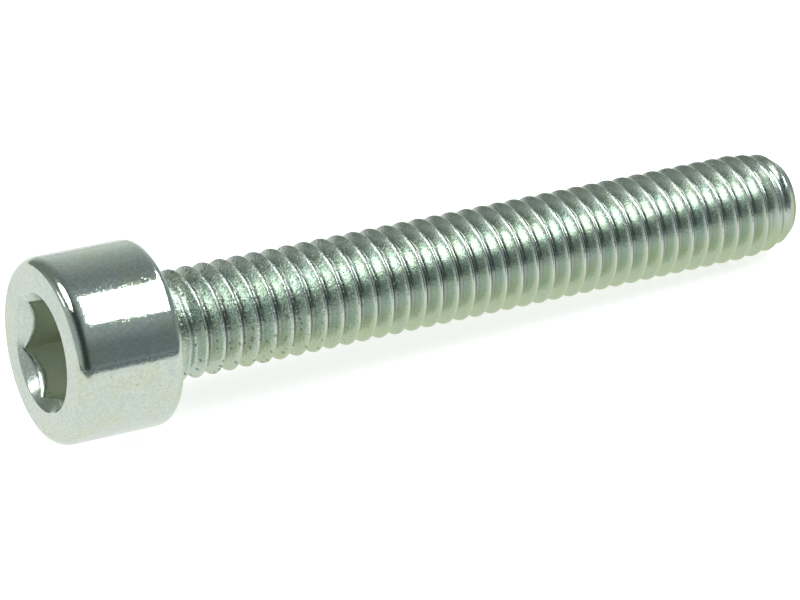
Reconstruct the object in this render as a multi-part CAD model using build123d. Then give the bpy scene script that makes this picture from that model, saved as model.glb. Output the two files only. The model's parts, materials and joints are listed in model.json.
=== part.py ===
"""M6 x 40 hexagon socket head cap screw, one upset and rolled piece of zinc plated steel.

The screw lies on a flat surface as it comes to rest: on the lower edge of its head
and on the last full turn of its thread, with the tip lower than the head. X runs
from the head to the tip, Z is up, and the origin is on the surface under the
middle of the screw. All sizes are in millimetres.
"""
import os
from math import asin, atan2, cos, degrees, hypot, radians, sin, sqrt, tan

from build123d import *

# Head
HEAD_DIAMETER = 9.9
HEAD_HEIGHT = 5.95
TOP_EDGE_RADIUS = 0.85
TOP_EDGE_RUN = 0.72
UNDER_EDGE_RADIUS = 0.5

# Hexagon socket, with one corner SOCKET_TURN degrees round from straight up
SIDES = 6
KEY_SIZE = 5.0
KEY_CLEARANCE = 0.05
SOCKET_DEPTH = 3.1
SOCKET_FLOOR_SLOPE = 13.0
MOUTH_DIAMETER = 6.4
MOUTH_ANGLE = 90.0
SOCKET_TURN = 8.0

# Shank, over the crests of the thread
THREAD_DIAMETER = 5.88
LENGTH = 39.6

# Neck under the head, left at the size of the rolled blank
NECK_DIAMETER = 5.35
NECK_LENGTH = 0.9
NECK_SLOPE = 30.0
NECK_FILLET = 0.35

# Tip, where the last turns fall away and the end is chamfered
FADE_LENGTH = 1.85
FADE_DEPTH = 0.24
CHAMFER_LENGTH = 0.78
CHAMFER_DEPTH = 0.52
END_ROUND = 0.15

SOCKET_ACROSS_FLATS = KEY_SIZE + KEY_CLEARANCE

# Direction of straight up in a sketch across the screw's axis
UPRIGHT = 90.0


def top_edge():
    """Returns the flat face's radius and the middle of the arc that joins it to the side."""
    centre = (-HEAD_HEIGHT + TOP_EDGE_RUN, HEAD_DIAMETER / 2 - TOP_EDGE_RADIUS)
    face_radius = centre[1] + sqrt(TOP_EDGE_RADIUS**2 - TOP_EDGE_RUN**2)
    half_turn = asin(TOP_EDGE_RUN / TOP_EDGE_RADIUS) / 2
    middle = (
        centre[0] - TOP_EDGE_RADIUS * sin(half_turn),
        centre[1] + TOP_EDGE_RADIUS * cos(half_turn),
    )
    return face_radius, middle


def head():
    """The upset head: flat face, rounded top edge, plain side and rounded lower edge."""
    radius = HEAD_DIAMETER / 2
    face_radius, arc_middle = top_edge()
    with BuildPart() as body:
        with BuildSketch():
            with BuildLine():
                Line((0, 0), (-HEAD_HEIGHT, 0))
                Line((-HEAD_HEIGHT, 0), (-HEAD_HEIGHT, face_radius))
                ThreePointArc(
                    (-HEAD_HEIGHT, face_radius),
                    arc_middle,
                    (-HEAD_HEIGHT + TOP_EDGE_RUN, radius),
                )
                Line((-HEAD_HEIGHT + TOP_EDGE_RUN, radius), (0, radius))
                Line((0, radius), (0, 0))
            make_face()
            lower_corner = vertices().group_by(Axis.X)[-1].sort_by(Axis.Y)[-1]
            fillet(lower_corner, UNDER_EDGE_RADIUS)
        revolve(axis=Axis.X)
    return body.part


def shank():
    """The shank: neck, run-in, thread envelope, fading last turns and chamfered end."""
    neck = NECK_DIAMETER / 2
    crest = THREAD_DIAMETER / 2
    run_in = (crest - neck) / tan(radians(NECK_SLOPE))
    fade_end = crest - FADE_DEPTH
    end = fade_end - CHAMFER_DEPTH
    chamfer_start = LENGTH - CHAMFER_LENGTH
    with BuildPart() as body:
        with BuildSketch():
            with BuildLine():
                Polyline(
                    (0, 0),
                    (0, neck),
                    (NECK_LENGTH, neck),
                    (NECK_LENGTH + run_in, crest),
                    (chamfer_start - FADE_LENGTH, crest),
                    (chamfer_start, fade_end),
                    (LENGTH, end),
                    (LENGTH, 0),
                    close=True,
                )
            make_face()
            end_corner = vertices().group_by(Axis.X)[-1].sort_by(Axis.Y)[-1]
            fillet(end_corner, END_ROUND)
        revolve(axis=Axis.X)
    return body.part


def neck_fillet():
    """The ring that fills the corner between the neck and the bearing face."""
    neck = NECK_DIAMETER / 2
    with BuildPart() as ring:
        with BuildSketch():
            with BuildLine():
                Line((0, neck), (0, neck + NECK_FILLET))
                RadiusArc((0, neck + NECK_FILLET), (NECK_FILLET, neck), NECK_FILLET)
                Line((NECK_FILLET, neck), (0, neck))
            make_face()
        revolve(axis=Axis.X)
    return ring.part


def socket():
    """The space of the hexagon socket: key hexagon, shallow pointed floor and mouth cone."""
    apothem = SOCKET_ACROSS_FLATS / 2
    mouth = MOUTH_DIAMETER / 2
    cone_depth = mouth / tan(radians(MOUTH_ANGLE / 2))
    floor_depth = apothem * tan(radians(SOCKET_FLOOR_SLOPE))
    with BuildPart() as hexagon:
        with BuildSketch(Plane.YZ.offset(-HEAD_HEIGHT)):
            RegularPolygon(apothem, SIDES, major_radius=False, rotation=UPRIGHT + SOCKET_TURN)
        extrude(amount=SOCKET_DEPTH)
    with BuildPart() as cones:
        with BuildSketch():
            with BuildLine():
                Polyline(
                    (-HEAD_HEIGHT, 0),
                    (-HEAD_HEIGHT, mouth),
                    (-HEAD_HEIGHT + cone_depth, 0),
                    close=True,
                )
            make_face()
            with BuildLine():
                Polyline(
                    (-HEAD_HEIGHT + SOCKET_DEPTH, 0),
                    (-HEAD_HEIGHT + SOCKET_DEPTH, apothem),
                    (-HEAD_HEIGHT + SOCKET_DEPTH + floor_depth, 0),
                    close=True,
                )
            make_face()
        revolve(axis=Axis.X)
    return hexagon.part + cones.part


def rest_tilt():
    """Returns the tip-down angle, in degrees, at which the screw lies.

    The surface is the line that touches the arc of the head's lower edge and the
    corner where the thread starts to fade.
    """
    run = LENGTH - CHAMFER_LENGTH - FADE_LENGTH + UNDER_EDGE_RADIUS
    rise = HEAD_DIAMETER / 2 - UNDER_EDGE_RADIUS - THREAD_DIAMETER / 2
    return degrees(atan2(rise, run) + asin(UNDER_EDGE_RADIUS / hypot(run, rise)))


def cap_screw():
    """The whole screw, tilted to its rest and set down on the surface."""
    upright = head() + shank() + neck_fillet() - socket()
    lying = upright.rotate(Axis.Y, rest_tilt())
    box = lying.bounding_box()
    centre = box.center()
    return lying.moved(Location((-centre.X, -centre.Y, -box.min.Z)))


os.makedirs("parts", exist_ok=True)
screw = cap_screw()
export_step(screw, "parts/cap_screw.step")
print(f"cap_screw: {screw.volume:.1f} mm3, tilt {rest_tilt():.3f} degrees")
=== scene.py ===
"""Looks of a zinc plated M6 x 40 hexagon socket head cap screw that lies at rest.

The screw is one piece of steel, so one closed mesh stands for its node. The mesh is a row of
points round the screw's axis, repeated from the middle of the socket's floor, over the head
and down the shank to the middle of the end face. On the shank the rows are sheared along the
helix, so that crest and root each follow a row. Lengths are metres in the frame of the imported
model. On the screw, s runs along its axis from the bearing face to the tip, r is the distance
from that axis, and a turn is an angle round it, counted from straight up.
"""
import json
import logging
import math
from dataclasses import dataclass
from enum import Enum

import bpy
import bmesh
import numpy as np
from mathutils import Matrix, Vector


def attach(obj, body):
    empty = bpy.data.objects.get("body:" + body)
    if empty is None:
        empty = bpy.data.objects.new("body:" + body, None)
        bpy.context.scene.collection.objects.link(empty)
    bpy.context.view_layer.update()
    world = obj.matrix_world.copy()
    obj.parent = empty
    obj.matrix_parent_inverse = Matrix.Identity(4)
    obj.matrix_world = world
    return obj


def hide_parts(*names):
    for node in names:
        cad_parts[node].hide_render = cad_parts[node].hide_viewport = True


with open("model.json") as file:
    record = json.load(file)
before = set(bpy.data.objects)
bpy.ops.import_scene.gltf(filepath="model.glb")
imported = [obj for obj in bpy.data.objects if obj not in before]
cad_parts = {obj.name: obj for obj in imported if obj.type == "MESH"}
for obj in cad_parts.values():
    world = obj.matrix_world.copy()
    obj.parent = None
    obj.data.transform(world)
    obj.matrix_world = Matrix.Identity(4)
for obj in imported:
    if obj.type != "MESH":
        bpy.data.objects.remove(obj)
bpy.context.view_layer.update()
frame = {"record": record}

MM = 0.001
LOG = logging.getLogger("cap_screw")

Colour = tuple[float, float, float, float]


class Zone(Enum):
    """Stretches of the screw's surface that have a finish of their own."""

    SOCKET = 0
    MOUTH = 1
    HEAD = 2
    THREAD = 3


class LampShape(Enum):
    """Outlines of a lamp's face."""

    BOX = "RECTANGLE"
    OVAL = "ELLIPSE"


class MixSocket(Enum):
    """Numbers of a colour mix's sockets, several of which share one name."""

    SHARE = 0
    FIRST = 6
    SECOND = 7
    RESULT = 2


@dataclass(frozen=True)
class ScrewAxis:
    """The screw's own axis as it lies, and the directions that a turn is counted in.

    Attributes:
        seat: Centre of the bearing face.
        along: Unit vector from the head to the tip.
        up: Unit vector across the axis, nearest to straight up.
        side: Unit vector across both.
    """

    seat: np.ndarray
    along: np.ndarray
    up: np.ndarray
    side: np.ndarray

    @classmethod
    def from_record(cls, record: dict, thread_start: float) -> "ScrewAxis":
        """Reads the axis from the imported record's thread mount.

        Args:
            record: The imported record.
            thread_start: Where the full thread starts under the bearing face.

        Returns:
            The axis in the row frame.
        """
        mount = next(m for m in record["mounts"] if m["name"] == "thread")
        along = np.array(mount["axis"], float)
        along /= np.linalg.norm(along)
        half = mount["dims"]["length_mm"] * MM / 2
        seat = np.array(mount["pos_m"], float) - along * (thread_start + half)
        up = np.array((0.0, 0.0, 1.0)) - along * along[2]
        up /= np.linalg.norm(up)
        return cls(seat, along, up, np.cross(along, up))

    def place(
        self, s: float | np.ndarray, r: float | np.ndarray, turn: np.ndarray
    ) -> np.ndarray:
        """Turns screw coordinates into points.

        Args:
            s: Distances along the axis from the bearing face, or one for all points.
            r: Distances from the axis, or one for all points.
            turn: Angles round the axis, in radians.

        Returns:
            An array with one point per row.
        """
        s, r, turn = np.broadcast_arrays(s, r, turn)
        radial = np.cos(turn)[:, None] * self.up + np.sin(turn)[:, None] * self.side
        return self.seat + s[:, None] * self.along + r[:, None] * radial


def level_row(s: float | np.ndarray, r: float | np.ndarray, columns: int) -> np.ndarray:
    """Makes one row of the mesh.

    Args:
        s: Distance along the axis, one value for all columns or one for each.
        r: Distance from the axis, in the same way.
        columns: Number of columns.

    Returns:
        One (s, r) pair per column.
    """
    flat = np.ones(columns)
    return np.column_stack((s * flat, r * flat))


def rounded(
    before: np.ndarray, corner: np.ndarray, after: np.ndarray, reach: float | np.ndarray, steps: int
) -> list[np.ndarray]:
    """Rounds a corner of many meridians at once.

    Args:
        before: Points before the corner, as (s, r) pairs.
        corner: The corners themselves.
        after: Points behind the corner.
        reach: How far from the corner the round starts and ends, or one such value per row.
        steps: Number of spans in the round.

    Returns:
        The rows of the round, each an array of (s, r) pairs.
    """
    back = before - corner
    front = after - corner
    start = corner + back / np.linalg.norm(back, axis=1, keepdims=True) * reach
    end = corner + front / np.linalg.norm(front, axis=1, keepdims=True) * reach
    rows = []
    for step in range(steps + 1):
        t = step / steps
        rows.append((1 - t) ** 2 * start + 2 * t * (1 - t) * corner + t**2 * end)
    return rows


def span(start: np.ndarray, end: np.ndarray, shares: tuple[float, ...]) -> list[np.ndarray]:
    """Rows between two rows.

    Args:
        start: The row that the span leaves.
        end: The row that it reaches.
        shares: Where the rows lie, as shares of the way.

    Returns:
        The rows in order, without the two ends.
    """
    return [start + (end - start) * share for share in shares]


def zoned(zone: Zone, rows: list[np.ndarray]) -> list[tuple[np.ndarray, Zone]]:
    """Pairs each row with the zone that it belongs to."""
    return [(row, zone) for row in rows]


@dataclass(frozen=True)
class Neck:
    """The plain stretch under the head, at the size of the rolled blank.

    Attributes:
        radius: Of the blank.
        length: From the bearing face to the start of the thread's run-in.
        fillet: Radius of the fillet under the head.
        fillet_steps: Number of spans in that fillet.
    """

    radius: float = 2.675 * MM
    length: float = 0.9 * MM
    fillet: float = 0.35 * MM
    fillet_steps: int = 5

    def fillet_rows(self, columns: int) -> list[np.ndarray]:
        """The fillet under the head.

        Args:
            columns: Number of columns.

        Returns:
            Its rows, from the bearing face to the neck.
        """
        rows = []
        for lean in np.linspace(0.0, math.pi / 2, self.fillet_steps + 1):
            s = self.fillet * (1 - math.cos(lean))
            rows.append(level_row(s, self.radius + self.fillet * (1 - math.sin(lean)), columns))
        return rows


@dataclass(frozen=True)
class Head:
    """The upset head with its punched hexagon socket.

    Attributes:
        height: From the bearing face to the flat face.
        radius: Of the cylindrical side.
        top_round: Radius of the front edge's arc.
        top_run: Length of that arc along the axis.
        crown_run: Length over which that arc runs out into the side.
        crown_lean: Lean of the surface where it starts to run out, in degrees.
        low_round: Radius of the lower edge.
        sides: Number of the socket's walls.
        apothem: Half the distance across the socket's flats.
        socket_turn: Turn of the socket's first corner, in degrees.
        socket_depth: From the flat face to the socket's floor.
        floor_slope: Slope of the floor towards its middle, in degrees.
        mouth: Radius of the mouth cone at the face.
        floor_edge: Reach of the round between the floor and a wall.
        lip_share: Reach of the round at the cone's lower end, as a share of the cone's slant.
        rim_edge: Reach of the round between the cone and the flat face.
        face_edge: Reach of the round between the flat face and the front edge's arc.
        edge_steps: Number of spans in each of those rounds, apart from the lower one.
        lip_steps: Number of spans in the round at the cone's lower end.
        arc_steps: Number of spans in the front edge's arc.
        arc_hidden: How many of the arc's spans the round beside the flat face takes up.
        crown_steps: Number of spans in the run-out.
        low_steps: Number of spans in the lower edge.
        floor_shares: The floor's rows, as shares of the way from its middle to the wall.
        foot_from: The share from which the round at the wall's foot is drawn.
        cone_shares: The cone's rows between its two rounds.
        ends: Rows of a plain stretch, closer together at its two ends.
    """

    height: float = 5.95 * MM
    radius: float = 4.95 * MM
    top_round: float = 0.85 * MM
    top_run: float = 0.72 * MM
    crown_run: float = 0.38 * MM
    crown_lean: float = 3.0
    low_round: float = 0.5 * MM
    sides: int = 6
    apothem: float = 2.525 * MM
    socket_turn: float = 8.0
    socket_depth: float = 3.1 * MM
    floor_slope: float = 13.0
    mouth: float = 3.2 * MM
    floor_edge: float = 0.12 * MM
    lip_share: float = 0.3
    rim_edge: float = 0.07 * MM
    face_edge: float = 0.16 * MM
    edge_steps: int = 4
    lip_steps: int = 8
    arc_steps: int = 12
    arc_hidden: int = 2
    crown_steps: int = 6
    low_steps: int = 8
    floor_shares: tuple[float, ...] = (0.15, 0.35, 0.55, 0.75, 0.88)
    foot_from: float = 0.9
    cone_shares: tuple[float, ...] = (0.1, 0.5, 0.9)
    ends: tuple[float, ...] = (0.03, 0.2, 0.4, 0.6, 0.8, 0.97)

    def floor(self) -> float:
        """Returns where the socket's walls end."""
        return -self.height + self.socket_depth

    def middle(self) -> float:
        """Returns where the socket's floor meets the axis."""
        return self.floor() + self.apothem * math.tan(math.radians(self.floor_slope))

    def wall(self, turns: np.ndarray) -> np.ndarray:
        """Returns the socket's radius at each turn."""
        sector = math.radians(360.0 / self.sides)
        off = (turns - math.radians(self.socket_turn)) % sector - sector / 2
        return self.apothem / np.cos(off)

    def inset(self) -> float:
        """Returns how far the front edge's arc sits inside the side, so that its run-out fits."""
        lean = math.radians(self.crown_lean)
        return self.crown_drop() - self.top_round * (1 - math.cos(lean))

    def crown_drop(self) -> float:
        """Returns how far the run-out's start lies inside the side."""
        return self.crown_run * math.tan(math.radians(self.crown_lean)) / 2

    def face_radius(self) -> float:
        """Returns where the flat face ends and the front edge's arc starts."""
        drop = self.top_round - math.sqrt(self.top_round**2 - self.top_run**2)
        return self.radius - drop - self.inset()

    def floor_row(self, share: float, wall: np.ndarray) -> np.ndarray:
        """One row of the socket's floor.

        Args:
            share: Where it lies, as a share of the way from the middle to the wall.
            wall: The socket's radius at each column.

        Returns:
            The row, as one (s, r) pair per column.
        """
        r = share * wall
        dip = np.maximum(self.apothem - r, 0.0) * math.tan(math.radians(self.floor_slope))
        return level_row(self.floor() + dip, r, len(wall))

    def front_arc(self, columns: int) -> list[np.ndarray]:
        """The front edge, from the flat face to the side.

        Args:
            columns: Number of columns.

        Returns:
            The rows of the arc and of its run-out.
        """
        centre_s = -self.height + self.top_run
        centre_r = self.radius - self.top_round - self.inset()
        first = math.asin(self.top_run / self.top_round)
        last = math.radians(self.crown_lean)
        rows = []
        for step in range(self.arc_steps + 1):
            lean = first + (last - first) * step / self.arc_steps
            s = centre_s - self.top_round * math.sin(lean)
            rows.append(level_row(s, centre_r + self.top_round * math.cos(lean), columns))
        for step in range(1, self.crown_steps + 1):
            t = step / self.crown_steps
            r = self.radius - self.crown_drop() * (1 - t) ** 2
            rows.append(level_row(s + t * self.crown_run, r, columns))
        return rows

    def low_edge(self, columns: int) -> list[np.ndarray]:
        """The head's rounded lower edge.

        Args:
            columns: Number of columns.

        Returns:
            Its rows, from the side to the bearing face.
        """
        rows = []
        for lean in np.linspace(0.0, math.pi / 2, self.low_steps + 1):
            s = -self.low_round * (1 - math.sin(lean))
            rows.append(level_row(s, self.radius - self.low_round * (1 - math.cos(lean)), columns))
        return rows

    def rows(self, turns: np.ndarray, neck: Neck) -> list[tuple[np.ndarray, Zone]]:
        """The rows from the socket's floor to the neck.

        Args:
            turns: The columns' turns.
            neck: The neck that the bearing face runs into.

        Returns:
            Pairs of a row and its zone, in order. A row holds one (s, r) pair per column.
        """
        columns = len(turns)
        wall = self.wall(turns)
        foot = level_row(self.floor(), wall, columns)
        lip = level_row(-self.height + self.mouth - wall, wall, columns)
        rim = level_row(-self.height, self.mouth, columns)
        brow = level_row(-self.height, self.face_radius(), columns)
        arc = self.front_arc(columns)
        low = self.low_edge(columns)
        fillet = neck.fillet_rows(columns)
        lip_edge = self.lip_share * np.linalg.norm(rim - lip, axis=1, keepdims=True)

        foot_from = self.floor_row(self.foot_from, wall)
        foot_round = rounded(foot_from, foot, lip, self.floor_edge, self.edge_steps)
        lip_round = rounded(foot, lip, rim, lip_edge, self.lip_steps)
        rim_round = rounded(lip, rim, brow, self.rim_edge, self.edge_steps)
        brow_round = rounded(rim, brow, arc[self.arc_hidden], self.face_edge, self.edge_steps)

        socket = [self.floor_row(share, wall) for share in self.floor_shares]
        socket += foot_round + span(foot_round[-1], lip_round[0], self.ends)
        mouth = lip_round + span(lip_round[-1], rim_round[0], self.cone_shares)
        face = rim_round + span(rim_round[-1], brow_round[0], self.ends) + brow_round
        side = arc[self.arc_hidden + 1:] + span(arc[-1], low[0], self.ends)
        bearing = low + span(low[-1], fillet[0], self.ends)
        listed = zoned(Zone.SOCKET, socket) + zoned(Zone.MOUTH, mouth)
        listed += zoned(Zone.HEAD, face + side + bearing)
        return listed + zoned(Zone.THREAD, fillet)


@dataclass(frozen=True)
class Thread:
    """The rolled thread, right-handed, with its run-in, its fading last turns and its tip.

    Attributes:
        pitch: Advance of one turn.
        crest: Radius over the crests.
        height: From root to crest.
        flat_share: Width of the crest's flat before it is rounded, as a share of the pitch.
        flank: Angle of a flank from straight across the axis, in degrees.
        crest_at: Where the first counted crest lies at the turn crest_turn.
        crest_turn: That turn, in degrees.
        full_from: Where the crests reach their full height.
        root_from: Where the roots reach their full depth.
        root_to: Where the roots start to rise again.
        root_faded: Radius at the roots at the chamfer.
        full_to: Where the crests start to fade.
        chamfer_at: Where the tip's chamfer starts.
        faded: Radius over the crests at the chamfer.
        end: Radius of the end face's edge.
        length: From the bearing face to the end face.
        end_round: Reach of the round at the end face's edge.
        end_clear: How far before that edge the helical rows stop, as a share of its reach.
        corner_steps: Number of spans in the rounds of crest and root.
        flank_steps: Number of spans on a flank.
        end_steps: Number of spans in the round at the end face's edge.
        end_shares: The end face's rows, as shares of the way from its edge to its middle.
        snap: How near to a border a point of the helix is moved onto it.
        meet: Half the height over which the thread blends into the chamfer.
        spare_turns: Turns of the helix laid out beyond each border, which cuts them off.
    """

    pitch: float = 1.0 * MM
    crest: float = 2.94 * MM
    height: float = 0.6134 * MM
    flat_share: float = 0.11
    flank: float = 30.0
    crest_at: float = 2.8475 * MM
    crest_turn: float = -29.32
    full_from: float = 1.359 * MM
    root_from: float = 2.3 * MM
    root_to: float = 37.2 * MM
    root_faded: float = 2.47 * MM
    full_to: float = 36.97 * MM
    chamfer_at: float = 38.82 * MM
    faded: float = 2.7 * MM
    end: float = 2.18 * MM
    length: float = 39.6 * MM
    end_round: float = 0.12 * MM
    end_clear: float = 1.6
    corner_steps: int = 3
    flank_steps: int = 2
    end_steps: int = 4
    end_shares: tuple[float, ...] = (0.05, 0.3, 0.6, 0.85)
    snap: float = 0.004 * MM
    meet: float = 0.02 * MM
    spare_turns: int = 2

    def section(self) -> tuple[np.ndarray, np.ndarray]:
        """One pitch of the thread's section, from crest to crest.

        Returns:
            Shares of the pitch and, for each, the height over the root as a share.
        """
        half_flat = self.flat_share * self.pitch / 2
        run = self.height * math.tan(math.radians(self.flank))
        half_root = self.pitch / 2 - half_flat - run
        top = np.array([[0.0, self.height]])
        shoulder = np.array([[half_flat, self.height]])
        heel = np.array([[half_flat + run, 0.0]])
        bottom = np.array([[self.pitch / 2, 0.0]])
        points = rounded(top, shoulder, heel, half_flat, self.corner_steps)
        low = rounded(shoulder, heel, bottom, half_root, self.corner_steps)
        shares = [step / self.flank_steps for step in range(1, self.flank_steps)]
        points += span(points[-1], low[0], tuple(shares))
        points += low
        half = np.array([point[0] for point in points])
        back = np.column_stack((self.pitch - half[-2:0:-1, 0], half[-2:0:-1, 1]))
        whole = np.vstack((half, back))
        return whole[:, 0] / self.pitch, whole[:, 1] / self.height

    def radius(self, s: np.ndarray, rise: np.ndarray, neck: Neck) -> np.ndarray:
        """The thread's radius.

        Args:
            s: Distances under the bearing face.
            rise: Heights over the root, as shares of the full height.
            neck: The neck that the thread runs out of.

        Returns:
            The radius at each place.
        """
        knots = (neck.length, self.full_from, self.full_to, self.chamfer_at, self.length)
        crest = np.interp(s, knots, (neck.radius, self.crest, self.crest, self.faded, self.faded))
        start = np.clip((s - neck.length) / (self.root_from - neck.length), 0.0, 1.0)
        root = neck.radius + (self.crest - self.height - neck.radius) * start
        root += (self.root_faded - root) * np.interp(s, (self.root_to, self.chamfer_at), (0.0, 1.0))
        plain = root + (crest - root) * rise
        fall = (self.faded - self.end) / (self.length - self.chamfer_at)
        cone = self.faded - fall * (s - self.chamfer_at)
        gap = np.clip(0.5 + (cone - plain) / (2 * self.meet), 0.0, 1.0)
        return cone + (plain - cone) * gap - self.meet * gap * (1 - gap)


class ScrewMesh:
    """Grows the screw's closed mesh, row by row, from the socket's floor to the end face.

    Attributes:
        columns: Points in a row, a multiple of the socket's sides.
        smooth_to: Angle between two faces up to which they are shaded as one, in degrees.
    """

    columns: int = 120
    smooth_to: float = 34.0

    def __init__(self, axis: ScrewAxis, head: Head, neck: Neck, thread: Thread) -> None:
        """Keeps the forms and places the columns so that some follow the socket's corners.

        Args:
            axis: The screw's axis.
            head: The head's form.
            neck: The neck's form.
            thread: The thread's form.
        """
        self.axis = axis
        self.head = head
        self.neck = neck
        self.thread = thread
        step = 2 * math.pi / self.columns
        self.turns = math.radians(head.socket_turn) + step * np.arange(self.columns)
        self.points: list[np.ndarray] = []
        self.count = 0
        self.faces: list[list[int]] = []
        self.zones: list[Zone] = []

    def add_points(
        self, s: float | np.ndarray, r: float | np.ndarray, turns: np.ndarray
    ) -> np.ndarray:
        """Adds points.

        Args:
            s: Distances along the axis, or one for all points.
            r: Distances from the axis, or one for all points.
            turns: Angles round the axis, in radians.

        Returns:
            The points' numbers.
        """
        placed = self.axis.place(s, r, turns)
        self.points.append(placed)
        numbers = np.arange(self.count, self.count + len(placed))
        self.count += len(placed)
        return numbers

    def add_ring(self, row: np.ndarray) -> np.ndarray:
        """Adds one row of (s, r) pairs and returns its points' numbers."""
        return self.add_points(row[:, 0], row[:, 1], self.turns)

    def join(self, first: np.ndarray, second: np.ndarray, zone: Zone) -> None:
        """Closes the surface between two rings.

        Args:
            first: Numbers of the ring that lies nearer to the socket's floor.
            second: Numbers of the next ring.
            zone: The zone that the faces belong to.
        """
        for a, b, c, d in zip(first, second, np.roll(second, -1), np.roll(first, -1)):
            self.add_face((a, b, c, d), zone)

    def add_face(self, corners: tuple[int, ...], zone: Zone) -> None:
        """Adds a face, without the corners that coincide, unless fewer than three are left.

        Args:
            corners: Numbers of the face's points, in order.
            zone: The zone that the face belongs to.
        """
        kept = [c for c, before in zip(corners, corners[-1:] + corners[:-1]) if c != before]
        if len(kept) > 2:
            self.faces.append([int(c) for c in kept])
            self.zones.append(zone)

    def close(self, s: float, ring: np.ndarray, zone: Zone) -> None:
        """Closes a ring with a fan about a point on the axis.

        Args:
            s: Where that point lies along the axis.
            ring: Numbers of the ring's points.
            zone: The zone that the fan belongs to.
        """
        centre = self.add_points(np.array([s]), np.array([0.0]), np.array([0.0]))[0]
        for a, b in zip(ring, np.roll(ring, -1)):
            self.add_face((centre, a, b), zone)

    def grow_head(self) -> np.ndarray:
        """Grows the socket, the head and the fillet under it.

        Returns:
            The last ring, where the fillet meets the neck.
        """
        listed = self.head.rows(self.turns, self.neck)
        ring = self.add_ring(listed[0][0])
        self.close(self.head.middle(), ring, Zone.SOCKET)
        for row, zone in listed[1:]:
            following = self.add_ring(row)
            self.join(ring, following, zone)
            ring = following
        return ring

    def grow_thread(self, start: np.ndarray, first: float, last: float) -> np.ndarray:
        """Grows the rows that follow the helix.

        Args:
            start: The ring that the thread leaves, at first.
            first: Where the helical rows start.
            last: Where they end.

        Returns:
            The ring at last.
        """
        thread = self.thread
        shares, rise = thread.section()
        per_turn = len(shares)
        lead = (self.turns - math.radians(thread.crest_turn)) / (2 * math.pi) * thread.pitch
        turns_before = math.ceil((thread.crest_at - first) / thread.pitch) + thread.spare_turns
        turns_all = math.ceil((last - first) / thread.pitch) + 2 * thread.spare_turns
        base = thread.crest_at - turns_before * thread.pitch
        along = (np.arange(turns_all)[:, None] + shares[None, :]).ravel() * thread.pitch
        rises = np.tile(rise, turns_all)
        s = base + along[:, None] + lead[None, :]
        end_radius = thread.radius(np.array([last]), np.array([0.0]), self.neck)[0]
        end = self.add_points(last, end_radius, self.turns)
        numbers = np.where(s < first + thread.snap, start[None, :], end[None, :])
        inside = (s >= first + thread.snap) & (s <= last - thread.snap)
        rise_all = np.broadcast_to(rises[:, None], s.shape)
        turns = np.broadcast_to(self.turns[None, :], s.shape)
        radii = thread.radius(s[inside], rise_all[inside], self.neck)
        numbers[inside] = self.add_points(s[inside], radii, turns[inside])
        seam = np.full(len(s), end[0])
        seam[:-per_turn] = numbers[per_turn:, 0]
        numbers = np.column_stack((numbers, seam))
        for column in range(self.columns):
            near = numbers[:, column]
            far = numbers[:, column + 1]
            for a, b, c, d in zip(near[:-1], near[1:], far[1:], far[:-1]):
                self.add_face((a, b, c, d), Zone.THREAD)
        return end

    def grow_tip(self, ring: np.ndarray, first: float) -> None:
        """Grows the round at the end face's edge and the end face.

        Args:
            ring: The ring that the thread ended on.
            first: Where that ring lies.
        """
        thread = self.thread
        start = thread.radius(np.array([first]), np.array([0.0]), self.neck)[0]
        before = level_row(first, start, self.columns)
        corner = level_row(thread.length, thread.end, self.columns)
        middle = level_row(thread.length, 0.0, self.columns)
        rows = rounded(before, corner, middle, thread.end_round, thread.end_steps)
        rows += span(rows[-1], middle, thread.end_shares)
        for row in rows:
            following = self.add_ring(row)
            self.join(ring, following, Zone.THREAD)
            ring = following
        self.close(thread.length, ring, Zone.THREAD)

    def build(self, name: str) -> bpy.types.Object:
        """Builds the whole mesh.

        Args:
            name: The piece's name.

        Returns:
            The object, whose faces already carry their zone's number as material slot.
        """
        ring = self.grow_head()
        ring_next = self.add_points(self.neck.length, self.neck.radius, self.turns)
        self.join(ring, ring_next, Zone.THREAD)
        last = self.thread.length - self.thread.end_clear * self.thread.end_round
        ring = self.grow_thread(ring_next, self.neck.length, last)
        self.grow_tip(ring, last)
        mesh = bpy.data.meshes.new(name)
        mesh.from_pydata(np.vstack(self.points).tolist(), [], self.faces)
        mesh.polygons.foreach_set("material_index", [zone.value for zone in self.zones])
        shape = bmesh.new()
        shape.from_mesh(mesh)
        bmesh.ops.recalc_face_normals(shape, faces=shape.faces)
        shape.to_mesh(mesh)
        shape.free()
        mesh.polygons.foreach_set("use_smooth", [True] * len(mesh.polygons))
        mesh.set_sharp_from_angle(angle=math.radians(self.smooth_to))
        piece = bpy.data.objects.new(name, mesh)
        bpy.context.scene.collection.objects.link(piece)
        return piece


def new_group(
    name: str, inputs: dict[str, tuple[str, object]], outputs: dict[str, str]
) -> bpy.types.ShaderNodeTree:
    """Makes a shader node group with named sockets.

    Args:
        name: The group's name.
        inputs: Socket types by name, each with its default value.
        outputs: Socket types by name.

    Returns:
        The group, with its input and output nodes in place.
    """
    group = bpy.data.node_groups.new(name, "ShaderNodeTree")
    for label, (kind, value) in inputs.items():
        socket = group.interface.new_socket(label, in_out="INPUT", socket_type=kind)
        socket.default_value = value
    for label, kind in outputs.items():
        group.interface.new_socket(label, in_out="OUTPUT", socket_type=kind)
    group.nodes.new("NodeGroupInput").name = "In"
    group.nodes.new("NodeGroupOutput").name = "Out"
    return group


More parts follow.
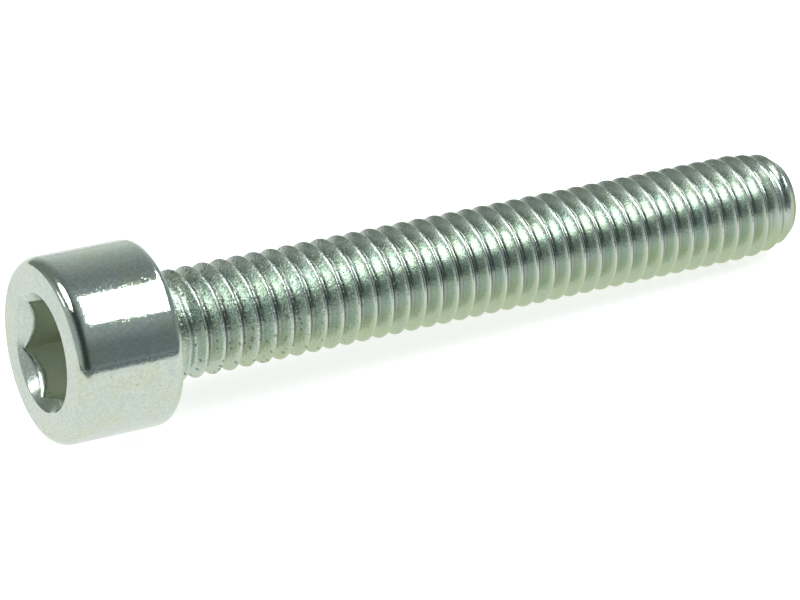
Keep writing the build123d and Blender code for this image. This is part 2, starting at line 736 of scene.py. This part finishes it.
class Wiring:
    """Short ways to add and connect nodes in one tree."""

    def __init__(self, tree: bpy.types.NodeTree) -> None:
        """Keeps the tree."""
        self.tree = tree

    def node(
        self,
        kind: str,
        settings: dict[str, object] | None = None,
        values: dict[str | int, object] | None = None,
    ) -> bpy.types.Node:
        """Adds a node.

        Args:
            kind: The node's type.
            settings: Properties to set on it.
            values: Values or linked sockets for its inputs, by name or number.

        Returns:
            The node.
        """
        made = self.tree.nodes.new(kind)
        for label, value in (settings or {}).items():
            setattr(made, label, value)
        for label, value in (values or {}).items():
            self.feed(made.inputs[label], value)
        return made

    def group(self, tree: bpy.types.ShaderNodeTree, values: dict[str, object]) -> object:
        """Places a node group with its own values and returns its outputs."""
        return self.node("ShaderNodeGroup", {"node_tree": tree}, values).outputs

    def feed(self, socket: bpy.types.NodeSocket, value: object) -> None:
        """Links an output to a socket, or sets the socket's own value.

        Args:
            socket: The input socket.
            value: Another node's output, or a plain value.
        """
        if isinstance(value, bpy.types.NodeSocket):
            self.tree.links.new(value, socket)
        else:
            socket.default_value = value

    def math(self, operation: str, *values: object) -> bpy.types.NodeSocket:
        """Adds a math node.

        Args:
            operation: What it works out.
            *values: Values or linked sockets for its inputs, in order.

        Returns:
            Its result.
        """
        made = self.node("ShaderNodeMath", {"operation": operation})
        for socket, value in zip(made.inputs, values):
            self.feed(socket, value)
        return made.outputs["Value"]

    def mix(
        self, share: object, first: object, second: object, blend: str = "MIX"
    ) -> bpy.types.NodeSocket:
        """Adds a colour mix.

        Args:
            share: How much of the second colour there is.
            first: The first colour.
            second: The second colour.
            blend: How the second colour acts on the first.

        Returns:
            The mixed colour.
        """
        made = self.node("ShaderNodeMix", {"data_type": "RGBA", "blend_type": blend})
        self.feed(made.inputs[MixSocket.SHARE.value], share)
        self.feed(made.inputs[MixSocket.FIRST.value], first)
        self.feed(made.inputs[MixSocket.SECOND.value], second)
        return made.outputs[MixSocket.RESULT.value]

    def multiply(self, first: object, second: object) -> bpy.types.NodeSocket:
        """Multiplies two colours and returns the result."""
        return self.mix(1.0, first, second, "MULTIPLY")

    def vector(self, operation: str, *values: object) -> bpy.types.Node:
        """Adds a vector math node.

        Args:
            operation: What it works out.
            *values: Values or linked sockets for its inputs, in order.

        Returns:
            The node.
        """
        made = self.node("ShaderNodeVectorMath", {"operation": operation})
        for socket, value in zip(made.inputs, values):
            self.feed(socket, value)
        return made

    def ramp(self, value: object, low: object, high: object) -> bpy.types.NodeSocket:
        """Adds a smooth step.

        Args:
            value: What is looked at.
            low: Where the step is 0.
            high: Where it is 1, above or below low.

        Returns:
            The step's height.
        """
        made = self.node("ShaderNodeMapRange", {"interpolation_type": "SMOOTHSTEP"})
        self.feed(made.inputs["Value"], value)
        self.feed(made.inputs["From Min"], low)
        self.feed(made.inputs["From Max"], high)
        return made.outputs["Result"]

    def noise(
        self, place: object, scale: object, detail: float, rough: float = 0.5
    ) -> bpy.types.NodeSocket:
        """Adds a noise texture.

        Args:
            place: The surface point.
            scale: Its blotches to the metre.
            detail: How many finer layers it has.
            rough: How strong those are.

        Returns:
            Its value.
        """
        made = self.node("ShaderNodeTexNoise", {"noise_dimensions": "3D"})
        self.feed(made.inputs["Vector"], place)
        self.feed(made.inputs["Scale"], scale)
        made.inputs["Detail"].default_value = detail
        made.inputs["Roughness"].default_value = rough
        return made.outputs["Fac"]


class PlatingGroups:
    """The shader node groups that the screw's finishes share.

    Attributes:
        cloud_detail: Finer layers in the clouds of colour.
        cloud_rough: How strong those are.
        warm_band: Values of the cloud between which the warm colour sets in.
        cool_band: Values between which the cool one does.
        grain_detail: Finer layers in the grain.
        grain_rough: How strong those are.
        grain_band: Values of the grain that count as lowest and highest.
        wave_detail: Finer layers in the waviness.
        patch_detail: Finer layers in the patches that nodules stand in.
        patch_band: Values of those patches between which nodules set in.
        mark_limit: Share of the places that have no handling mark.
    """

    cloud_detail: float = 4.0
    cloud_rough: float = 0.6
    warm_band: tuple[float, float] = (0.45, 0.65)
    cool_band: tuple[float, float] = (0.52, 0.34)
    grain_detail: float = 3.0
    grain_rough: float = 0.6
    grain_band: tuple[float, float] = (0.3, 0.7)
    wave_detail: float = 2.0
    patch_detail: float = 2.0
    patch_band: tuple[float, float] = (0.35, 0.65)
    mark_limit: float = 0.7

    def __init__(self) -> None:
        """Builds the groups once."""
        self.tint = self.build_tint()
        self.groove_shade = self.build_groove_shade()
        self.grain = self.build_grain()
        self.nodules = self.build_nodules()
        self.marks = self.build_marks()

    def build_tint(self) -> bpy.types.ShaderNodeTree:
        """The plating's colour: pale zinc with clouds of yellow-green and blue passivation.

        Returns:
            The group.
        """
        group = new_group(
            "plating_tint",
            {
                "Place": ("NodeSocketVector", (0.0, 0.0, 0.0)),
                "Zinc": ("NodeSocketColor", (0.8, 0.8, 0.8, 1.0)),
                "Warm": ("NodeSocketColor", (0.8, 0.8, 0.7, 1.0)),
                "Cool": ("NodeSocketColor", (0.7, 0.8, 0.8, 1.0)),
                "Cloud scale": ("NodeSocketFloat", 300.0),
                "Amount": ("NodeSocketFloat", 0.5),
            },
            {"Color": "NodeSocketColor"},
        )
        wire = Wiring(group)
        into = group.nodes["In"].outputs
        cloud = wire.noise(into["Place"], into["Cloud scale"], self.cloud_detail, self.cloud_rough)
        warm = wire.math("MULTIPLY", wire.ramp(cloud, *self.warm_band), into["Amount"])
        cool = wire.math("MULTIPLY", wire.ramp(cloud, *self.cool_band), into["Amount"])
        colour = wire.mix(cool, wire.mix(warm, into["Zinc"], into["Warm"]), into["Cool"])
        wire.feed(group.nodes["Out"].inputs["Color"], colour)
        return group

    def build_groove_shade(self) -> bpy.types.ShaderNodeTree:
        """A colour that changes from the crests to the roots, with the distance from the axis.

        Returns:
            The group.
        """
        group = new_group(
            "groove_painted_shade",
            {
                "Place": ("NodeSocketVector", (0.0, 0.0, 0.0)),
                "Seat": ("NodeSocketVector", (0.0, 0.0, 0.0)),
                "Along": ("NodeSocketVector", (1.0, 0.0, 0.0)),
                "Root": ("NodeSocketFloat", 0.002),
                "Root end": ("NodeSocketFloat", 0.0022),
                "Flank end": ("NodeSocketFloat", 0.0028),
                "Crest": ("NodeSocketFloat", 0.003),
                "Line": ("NodeSocketColor", (0.5, 0.5, 0.5, 1.0)),
                "Flank shade": ("NodeSocketColor", (0.7, 0.7, 0.6, 1.0)),
                "Color": ("NodeSocketColor", (0.8, 0.8, 0.8, 1.0)),
            },
            {"Color": "NodeSocketColor"},
        )
        wire = Wiring(group)
        into = group.nodes["In"].outputs
        arm = wire.vector("SUBTRACT", into["Place"], into["Seat"])
        across = wire.vector("CROSS_PRODUCT", arm.outputs["Vector"], into["Along"])
        away = wire.vector("LENGTH", across.outputs["Vector"]).outputs["Value"]
        # Painted shade in the thread's grooves: the flanks are darkened, the roots darker still, and
        # the crests keep the full colour.
        flank = wire.multiply(into["Flank shade"], into["Color"])
        line = wire.multiply(into["Line"], flank)
        shade_to_crest = wire.mix(wire.ramp(away, into["Flank end"], into["Crest"]), flank, into["Color"])
        colour = wire.mix(wire.ramp(away, into["Root"], into["Root end"]), line, shade_to_crest)
        wire.feed(group.nodes["Out"].inputs["Color"], colour)
        return group

    def build_grain(self) -> bpy.types.ShaderNodeTree:
        """The plating's fine grain and slow waviness, as a height in millimetres and a share.

        Returns:
            The group.
        """
        group = new_group(
            "plating_grain",
            {
                "Place": ("NodeSocketVector", (0.0, 0.0, 0.0)),
                "Grain scale": ("NodeSocketFloat", 6000.0),
                "Grain depth": ("NodeSocketFloat", 0.01),
                "Wave scale": ("NodeSocketFloat", 900.0),
                "Wave depth": ("NodeSocketFloat", 0.02),
            },
            {"Height": "NodeSocketFloat", "Share": "NodeSocketFloat"},
        )
        wire = Wiring(group)
        into = group.nodes["In"].outputs
        fine = wire.noise(into["Place"], into["Grain scale"], self.grain_detail, self.grain_rough)
        wave = wire.noise(into["Place"], into["Wave scale"], self.wave_detail)
        relief = wire.math("MULTIPLY", fine, into["Grain depth"])
        height = wire.math("MULTIPLY_ADD", wave, into["Wave depth"], relief)
        wire.feed(group.nodes["Out"].inputs["Height"], height)
        wire.feed(group.nodes["Out"].inputs["Share"], wire.ramp(fine, *self.grain_band))
        return group

    def build_nodules(self) -> bpy.types.ShaderNodeTree:
        """Tiny nodules of the plating, which stand in patches and glint one by one.

        Returns:
            The group.
        """
        group = new_group(
            "plating_nodules",
            {
                "Place": ("NodeSocketVector", (0.0, 0.0, 0.0)),
                "Nodule scale": ("NodeSocketFloat", 9000.0),
                "Nodule size": ("NodeSocketFloat", 0.45),
                "Density": ("NodeSocketFloat", 0.5),
                "Patch scale": ("NodeSocketFloat", 260.0),
            },
            {"Height": "NodeSocketFloat"},
        )
        wire = Wiring(group)
        into = group.nodes["In"].outputs
        cells = wire.node("ShaderNodeTexVoronoi", {"feature": "F1"})
        wire.feed(cells.inputs["Vector"], into["Place"])
        wire.feed(cells.inputs["Scale"], into["Nodule scale"])
        dome = wire.ramp(cells.outputs["Distance"], into["Nodule size"], 0.0)
        chance = wire.node("ShaderNodeSeparateColor", {}, {"Color": cells.outputs["Color"]})
        patches = wire.noise(into["Place"], into["Patch scale"], self.patch_detail)
        limit = wire.math("MULTIPLY", into["Density"], wire.ramp(patches, *self.patch_band))
        chosen = wire.math("LESS_THAN", chance.outputs["Red"], limit)
        wire.feed(group.nodes["Out"].inputs["Height"], wire.math("MULTIPLY", dome, chosen))
        return group

    def build_marks(self) -> bpy.types.ShaderNodeTree:
        """Small dull pits and rubbed spots from handling in bulk.

        Returns:
            The group.
        """
        group = new_group(
            "handling_marks",
            {
                "Place": ("NodeSocketVector", (0.0, 0.0, 0.0)),
                "Pit scale": ("NodeSocketFloat", 1500.0),
                "Pit size": ("NodeSocketFloat", 0.12),
            },
            {"Mask": "NodeSocketFloat"},
        )
        wire = Wiring(group)
        into = group.nodes["In"].outputs
        cells = wire.node("ShaderNodeTexVoronoi", {"feature": "F1"})
        wire.feed(cells.inputs["Vector"], into["Place"])
        wire.feed(cells.inputs["Scale"], into["Pit scale"])
        near = wire.math("LESS_THAN", cells.outputs["Distance"], into["Pit size"])
        chance = wire.node("ShaderNodeSeparateColor", {}, {"Color": cells.outputs["Color"]})
        chosen = wire.math("GREATER_THAN", chance.outputs["Red"], self.mark_limit)
        wire.feed(group.nodes["Out"].inputs["Mask"], wire.math("MULTIPLY", near, chosen))
        return group


@dataclass(frozen=True)
class ZincFinish:
    """One finish of the zinc plating.

    Attributes:
        name: The material's name.
        zinc: Colour of the plain plating.
        warm: Colour of the yellow-green clouds.
        cool: Colour of the bluish clouds.
        soil: Colour of the dirt in a handling mark.
        tint: How strongly the clouds show.
        cloud_scale: Clouds to the metre.
        groove_shade: What is left of each colour on the thread's flanks under painted shade, or None
            off the thread.
        root_shade: What is left of that at the thread's roots, under deeper painted shade.
        root_shade_share: How far up the flank that deeper painted shade reaches, as a share of the
            thread's height.
        shade_fade_share: Where the flank's painted shade starts to fade into the crest's full
            colour.
        grain_scale: Grains to the metre.
        grain_depth: Depth of the grain, in millimetres.
        wave_depth: Depth of the slow waviness, in millimetres.
        nodule_height: Height of a nodule, in millimetres.
        nodule_density: Share of the places that hold a nodule.
        mottle: How far the grain darkens its hollows.
        gloss_low: Roughness of the smoothest spots.
        gloss_high: Roughness of the dullest spots.
        coarse_by_head: How much deeper the grain is beside the head, as a share.
        coarse_reach: Distance from the bearing face at which that and the marks have gone.
        pit_scale: Places for a handling mark to the metre.
        pit_size: Radius of a mark, as a share of its place.
        pit_dull: What a mark adds to the roughness.
        pit_shade: How far a mark is darkened.
    """

    name: str
    zinc: Colour = (0.71, 0.79, 0.71, 1.0)
    warm: Colour = (0.7, 0.77, 0.6, 1.0)
    cool: Colour = (0.64, 0.735, 0.67, 1.0)
    soil: Colour = (0.16, 0.18, 0.15, 1.0)
    tint: float = 0.6
    cloud_scale: float = 900.0
    groove_shade: Colour | None = None
    root_shade: Colour = (0.62, 0.62, 0.62, 1.0)
    root_shade_share: float = 0.2
    shade_fade_share: float = 0.8
    grain_scale: float = 6000.0
    grain_depth: float = 0.0055
    wave_depth: float = 0.012
    nodule_height: float = 0.006
    nodule_density: float = 0.6
    mottle: float = 0.08
    gloss_low: float = 0.08
    gloss_high: float = 0.17
    coarse_by_head: float = 0.0
    coarse_reach: float = 26.0 * MM
    pit_scale: float = 1500.0
    pit_size: float = 0.09
    pit_dull: float = 0.15
    pit_shade: float = 0.35

    def colour(
        self, wire: Wiring, groups: PlatingGroups, place: object, axis: ScrewAxis, thread: Thread
    ) -> bpy.types.NodeSocket:
        """Adds the plating's colour before marks.

        Args:
            wire: The material's wiring.
            groups: The shared node groups.
            place: The surface point.
            axis: The screw's axis.
            thread: The thread, whose roots and crests bound the painted shade in its grooves.

        Returns:
            The colour's output.
        """
        tint = wire.group(groups.tint, {
            "Place": place, "Zinc": self.zinc, "Warm": self.warm, "Cool": self.cool,
            "Cloud scale": self.cloud_scale, "Amount": self.tint,
        })
        if self.groove_shade is None:
            return tint["Color"]
        # Painted shade on the thread's flanks and roots, bounded by the radii of roots and crests.
        root = thread.crest - thread.height
        groove_shade = wire.group(groups.groove_shade, {
            "Place": place, "Seat": tuple(axis.seat), "Along": tuple(axis.along),
            "Root": root, "Root end": root + self.root_shade_share * thread.height,
            "Flank end": root + self.shade_fade_share * thread.height, "Crest": thread.crest,
            "Line": self.root_shade, "Flank shade": self.groove_shade, "Color": tint["Color"],
        })
        return groove_shade["Color"]

    def material(self, groups: PlatingGroups, axis: ScrewAxis, thread: Thread) -> bpy.types.Material:
        """Makes the finish's material.

        Args:
            groups: The shared node groups.
            axis: The screw's axis.
            thread: The screw's thread.

        Returns:
            The material.
        """
        material = bpy.data.materials.new(self.name)
        material.use_nodes = True
        tree = material.node_tree
        wire = Wiring(tree)
        shader = tree.nodes["Principled BSDF"]
        place = wire.node("ShaderNodeTexCoord").outputs["Object"]
        grain = wire.group(groups.grain, {
            "Place": place, "Grain scale": self.grain_scale,
            "Grain depth": self.grain_depth, "Wave depth": self.wave_depth,
        })
        nodules = wire.group(groups.nodules, {"Place": place, "Density": self.nodule_density})
        marks = wire.group(groups.marks, {
            "Place": place, "Pit scale": self.pit_scale, "Pit size": self.pit_size,
        })
        dull = wire.node("ShaderNodeMapRange", {}, {
            "Value": grain["Share"], "To Min": self.gloss_low, "To Max": self.gloss_high,
        })
        arm = wire.vector("SUBTRACT", place, tuple(axis.seat)).outputs["Vector"]
        along = wire.vector("DOT_PRODUCT", arm, tuple(axis.along)).outputs["Value"]
        near = wire.ramp(along, self.coarse_reach, 0.0)
        coarse = wire.math("MULTIPLY_ADD", near, self.coarse_by_head, 1.0)
        pit = wire.math("MULTIPLY", near, marks["Mask"])
        rough = wire.math("MULTIPLY_ADD", pit, self.pit_dull, dull.outputs["Result"])
        hollow = wire.math("MULTIPLY", wire.math("SUBTRACT", 1.0, grain["Share"]), self.mottle)
        shade = wire.math("MULTIPLY_ADD", pit, self.pit_shade, hollow)
        colour = wire.mix(shade, self.colour(wire, groups, place, axis, thread), self.soil)
        raised = wire.math("MULTIPLY_ADD", nodules["Height"], self.nodule_height, grain["Height"])
        height = wire.math("MULTIPLY", raised, coarse)
        bump = wire.node("ShaderNodeBump", {}, {"Height": height, "Distance": MM, "Strength": 1.0})
        shader.inputs["Metallic"].default_value = 1.0
        wire.feed(shader.inputs["Base Color"], colour)
        wire.feed(shader.inputs["Roughness"], rough)
        wire.feed(shader.inputs["Normal"], bump.outputs["Normal"])
        return material


@dataclass(frozen=True)
class Softbox:
    """One soft lamp, placed by the direction in which the screw's middle sees it.

    Attributes:
        name: The lamp's name.
        towards: Direction from the screw to the lamp.
        distance: Distance to the lamp.
        width: Size along the screw.
        height: Size across it.
        glow: Brightness of its face, where 1 is white.
        roll: How far its far end is turned towards the tip, in degrees.
        shape: Outline of its face.
    """

    name: str
    towards: tuple[float, float, float]
    distance: float
    width: float
    height: float
    glow: float
    roll: float = 0.0
    shape: LampShape = LampShape.OVAL

    def build(self) -> bpy.types.Object:
        """Makes the lamp.

        Returns:
            The lamp's object.
        """
        lamp = bpy.data.lights.new(self.name, "AREA")
        lamp.shape = self.shape.value
        lamp.size = self.width
        lamp.size_y = self.height
        lamp.energy = self.glow * math.pi * self.width * self.height
        lit = bpy.data.objects.new(self.name, lamp)
        out = Vector(self.towards).normalized()
        along = (Vector((1.0, 0.0, 0.0)) - out * out.x).normalized()
        roll = math.radians(self.roll)
        wide = along * math.cos(roll) - out.cross(along) * math.sin(roll)
        turn = Matrix((wide, out.cross(wide), out)).transposed()
        lit.matrix_world = Matrix.Translation(out * self.distance) @ turn.to_4x4()
        lit.visible_camera = False
        bpy.context.scene.collection.objects.link(lit)
        return lit


@dataclass(frozen=True)
class Studio:
    """A plain pale floor under soft studio light.

    Attributes:
        floor_radius: Radius of the floor's disc.
        floor_corners: Number of its corners.
        floor_colour: Its colour.
        lift: How much of the floor's white shows without any lamp, so that it reads as white.
        sheet: Brightness at which polished metal sees the lit part of the floor.
        sheet_front: How far that lit part reaches in front of the screw.
        sheet_end: Where it has faded into the room.
        shaded: Colour of the floor under the shank, as polished metal sees it: a painted shadow,
            tinted by painted light thrown back from the zinc.
        shaded_to: Distance from the screw's axis at which that colour starts to fade.
        clear_from: Distance at which it has faded into the lit floor.
        shank_from: The x at which that colour starts, behind the head.
        shank_to: The x at which it is full.
        unlit: Colour of the room in front and of its ceiling.
        glare: Colour of the room in front, higher up beside the right lamp.
        glare_from: Where the glare starts, as the z of a direction.
        glare_to: Where it is full.
        wall: Colour of the lit wall behind, at its foot.
        front_from: Where the room is fully unlit, as the y of a direction.
        front_to: Where it is fully lit.
        ceiling: The z of a direction at which the wall behind has faded into the ceiling.
        left_front: Colour of the room's left part in front.
        left_back: Colour of its left part behind.
        left_from: Where the left part is at its darkest, as the x of a direction.
        left_to: Where it has ended.
        side: Colour of the lit wall at the far left.
        side_from: Where that wall starts, as the x of a direction.
        side_to: Where it is fully lit.
        end: Colour of the room and the floor beyond the tip.
        end_from: Where the room starts to turn into that, as the x of a direction.
        end_to: Where it has.
        sheet_right: How far the lit part of the floor reaches beyond the tip.
        sheet_gone: Where it has faded there.
        boxes: The soft lamps.
    """

    floor_radius: float = 0.8
    floor_corners: int = 128
    floor_colour: Colour = (0.82, 0.82, 0.82, 1.0)
    lift: float = 0.7
    sheet: float = 0.9
    sheet_front: float = 0.038
    sheet_end: float = 0.05
    shaded: Colour = (0.75, 0.78, 0.61, 1.0)
    shaded_to: float = 0.003
    clear_from: float = 0.0085
    shank_from: float = -0.017
    shank_to: float = -0.012
    unlit: Colour = (0.172, 0.2, 0.22, 1.0)
    glare: Colour = (0.33, 0.37, 0.39, 1.0)
    glare_from: float = 0.3
    glare_to: float = 0.68
    wall: Colour = (0.72, 0.755, 0.73, 1.0)
    front_from: float = -0.3
    front_to: float = 0.45
    ceiling: float = 0.9
    left_front: Colour = (0.045, 0.055, 0.06, 1.0)
    left_back: Colour = (0.2, 0.22, 0.2, 1.0)
    left_from: float = -0.2
    left_to: float = 0.42
    side: Colour = (0.42, 0.45, 0.45, 1.0)
    side_from: float = -0.45
    side_to: float = -0.88
    end: Colour = (0.27, 0.32, 0.34, 1.0)
    end_from: float = 0.6
    end_to: float = 0.85
    sheet_right: float = 0.03
    sheet_gone: float = 0.075
    boxes: tuple[Softbox, ...] = (
        Softbox(
            "right_softbox", towards=(0.432, -0.325, 0.841), distance=0.349,
            width=0.066, height=0.208, glow=7.5, shape=LampShape.BOX,
        ),
        Softbox(
            "far_right_softbox", towards=(0.56, -0.09, 0.824), distance=0.36,
            width=0.072, height=0.27, glow=8.5, roll=14.0,
        ),
        Softbox(
            "left_softbox", towards=(-0.395, 0.093, 0.914), distance=0.367,
            width=0.165, height=0.25, glow=3.0,
        ),
        Softbox(
            "low_left_softbox", towards=(-0.78, 0.235, 0.58), distance=0.367,
            width=0.06, height=0.12, glow=2.5,
        ),
    )

    def build_floor(self) -> bpy.types.Object:
        """Makes the floor, which the screw's shadow falls on.

        Returns:
            The floor.
        """
        shape = bmesh.new()
        bmesh.ops.create_circle(
            shape, cap_ends=True, segments=self.floor_corners, radius=self.floor_radius
        )
        mesh = bpy.data.meshes.new("floor")
        shape.to_mesh(mesh)
        shape.free()
        floor = bpy.data.objects.new("floor", mesh)
        bpy.context.scene.collection.objects.link(floor)
        mesh.materials.append(self.floor_material())
        return floor

    def floor_material(self) -> bpy.types.Material:
        """Makes the floor's material, which polished metal sees as a sheet of even light.

        Returns:
            The material.
        """
        material = bpy.data.materials.new("pale_floor")
        material.use_nodes = True
        tree = material.node_tree
        tree.nodes.clear()
        wire = Wiring(tree)
        rays = wire.node("ShaderNodeLightPath").outputs
        mirrored = wire.math("ADD", rays["Is Glossy Ray"], rays["Is Transmission Ray"])
        lifted = wire.math("MULTIPLY", rays["Is Camera Ray"], self.lift)
        matt = wire.node("ShaderNodeBsdfDiffuse", {}, {"Color": self.floor_colour})
        glow = wire.node("ShaderNodeEmission", {}, {"Strength": lifted})
        seen = wire.node("ShaderNodeAddShader", {}, {0: matt.outputs[0], 1: glow.outputs[0]})
        place = wire.node("ShaderNodeTexCoord").outputs["Object"]
        along = wire.node("ShaderNodeSeparateXYZ", {}, {"Vector": place}).outputs
        # Metal sees the floor as glowing light: a painted pool of light in front of the screw and
        # beyond its tip, fading into the room.
        white = (self.sheet, self.sheet, self.sheet, 1.0)
        lit = wire.mix(wire.ramp(along["Y"], -self.sheet_end, -self.sheet_front), self.unlit, white)
        lit = wire.mix(wire.ramp(along["X"], self.sheet_right, self.sheet_gone), lit, self.end)
        # Painted shadow under the shank, tinted by painted light thrown back from the zinc, seen
        # only by metal.
        beside = wire.ramp(wire.math("ABSOLUTE", along["Y"]), self.clear_from, self.shaded_to)
        behind = wire.ramp(along["X"], self.shank_from, self.shank_to)
        under = wire.math("MULTIPLY", beside, behind)
        sheet = wire.node("ShaderNodeEmission", {}, {"Color": wire.mix(under, lit, self.shaded)})
        both = wire.node(
            "ShaderNodeMixShader", {}, {0: mirrored, 1: seen.outputs[0], 2: sheet.outputs[0]}
        )
        wire.node("ShaderNodeOutputMaterial", {}, {"Surface": both.outputs[0]})
        return material

    def build_room(self) -> bpy.types.World:
        """Makes the room: a lit wall behind, and an unlit part in front and above.

        Returns:
            The world.
        """
        world = bpy.data.worlds.new("studio_room")
        world.use_nodes = True
        tree = world.node_tree
        tree.nodes.clear()
        wire = Wiring(tree)
        towards = wire.node("ShaderNodeTexCoord").outputs["Generated"]
        parts = wire.node("ShaderNodeSeparateXYZ", {}, {"Vector": towards}).outputs
        up = wire.node("ShaderNodeMapRange", {}, {"Value": parts["Z"], "From Max": self.ceiling})
        behind = wire.mix(up.outputs["Result"], self.wall, self.unlit)
        back = wire.ramp(parts["Y"], self.front_from, self.front_to)
        high = wire.ramp(parts["Z"], self.glare_from, self.glare_to)
        front = wire.mix(high, self.unlit, self.glare)
        right = wire.mix(back, front, behind)
        left = wire.mix(back, self.left_front, self.left_back)
        both = wire.mix(wire.ramp(parts["X"], self.left_from, self.left_to), left, right)
        both = wire.mix(wire.ramp(parts["X"], self.end_from, self.end_to), both, self.end)
        far_left = wire.ramp(parts["X"], self.side_from, self.side_to)
        room = wire.mix(far_left, both, self.side)
        light = wire.node("ShaderNodeBackground", {}, {"Color": room})
        wire.node("ShaderNodeOutputWorld", {}, {"Surface": light.outputs[0]})
        bpy.context.scene.world = world
        return world

    def build(self) -> None:
        """Builds the floor, the room and the lamps."""
        self.build_floor()
        self.build_room()
        for box in self.boxes:
            box.build()
            LOG.info("lamp %s", box.name)


@dataclass(frozen=True)
class Viewpoint:
    """The photograph's camera, found from the screw's outline and the thread's crests.

    Attributes:
        place: Where the camera stands.
        view: The direction that it looks in.
        lens: Focal length, in millimetres.
        sensor: Width of the sensor, in millimetres.
        clip_start: Distance from which the camera sees.
    """

    place: tuple[float, float, float] = (-0.0907287, -0.1592183, 0.1018213)
    view: tuple[float, float, float] = (0.4295297, 0.76669507, -0.4771613)
    lens: float = 173.1
    sensor: float = 36.0
    clip_start: float = 0.005

    def build(self) -> bpy.types.Object:
        """Makes the camera.

        Returns:
            The camera's object, set as the scene's camera.
        """
        data = bpy.data.cameras.new("camera")
        data.lens = self.lens
        data.sensor_width = self.sensor
        data.clip_start = self.clip_start
        camera = bpy.data.objects.new("camera", data)
        back = -Vector(self.view).normalized()
        right = Vector((0.0, 0.0, 1.0)).cross(back).normalized()
        up = back.cross(right)
        turn = Matrix((right, up, back)).transposed()
        camera.matrix_world = Matrix.Translation(Vector(self.place)) @ turn.to_4x4()
        bpy.context.scene.collection.objects.link(camera)
        bpy.context.scene.camera = camera
        return camera


class CapScrew:
    """The whole screw: its forms, its mesh and its finishes.

    Attributes:
        name: The piece's name.
    """

    name: str = "cap_screw_surface"

    def __init__(self) -> None:
        """Sets up the forms and the axis that they stand on."""
        self.head = Head()
        self.neck = Neck()
        self.thread = Thread()
        self.axis = ScrewAxis.from_record(frame["record"], self.thread.full_from)
        self.finishes = {
            # The socket's colour is darker and more olive than the head's: painted shade in the
            # socket. Its higher roughness is the plating's duller finish there.
            Zone.SOCKET: ZincFinish(
                "socket_zinc_painted_shade", zinc=(0.63, 0.67, 0.58, 1.0), gloss_low=0.34, gloss_high=0.46,
            ),
            Zone.MOUTH: ZincFinish(
                "mouth_zinc", zinc=(0.7, 0.79, 0.72, 1.0), mottle=0.2, tint=0.75,
                cloud_scale=520.0, grain_depth=0.008, nodule_height=0.007,
                gloss_low=0.16, gloss_high=0.27,
            ),
            Zone.HEAD: ZincFinish(
                "head_zinc", zinc=(0.71, 0.8, 0.715, 1.0), mottle=0.18, tint=0.75,
                cloud_scale=520.0, grain_depth=0.003, nodule_height=0.0028, wave_depth=0.009,
                gloss_low=0.06, gloss_high=0.13, pit_scale=2200.0, pit_size=0.12,
            ),
            # The thread's groove and root colours are painted shade in its grooves.
            Zone.THREAD: ZincFinish(
                "thread_zinc", zinc=(0.67, 0.76, 0.69, 1.0), warm=(0.69, 0.76, 0.63, 1.0),
                cool=(0.61, 0.73, 0.68, 1.0), groove_shade=(0.88, 0.9, 0.88, 1.0),
                grain_depth=0.0095, nodule_height=0.007, gloss_low=0.21, gloss_high=0.31,
                coarse_by_head=3.0, coarse_reach=19.0 * MM,
                pit_scale=3400.0, pit_size=0.34, pit_shade=0.75,
            ),
        }

    def build(self) -> bpy.types.Object:
        """Builds the piece, dresses it and ties it to the frame.

        Returns:
            The piece.
        """
        piece = ScrewMesh(self.axis, self.head, self.neck, self.thread).build(self.name)
        groups = PlatingGroups()
        for zone in Zone:
            finish = self.finishes[zone]
            piece.data.materials.append(finish.material(groups, self.axis, self.thread))
        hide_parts("cap_screw")
        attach(piece, "root")
        LOG.info("piece %s with %d faces", piece.name, len(piece.data.polygons))
        return piece


def main() -> None:
    """Builds the screw, the studio and the camera, in that order."""
    logging.basicConfig(level=logging.INFO, format="%(name)s: %(message)s")
    CapScrew().build()
    Studio().build()
    Viewpoint().build()
    bpy.context.scene.view_settings.view_transform = "Standard"
    bpy.context.view_layer.update()


if __name__ == "__main__":
    main()
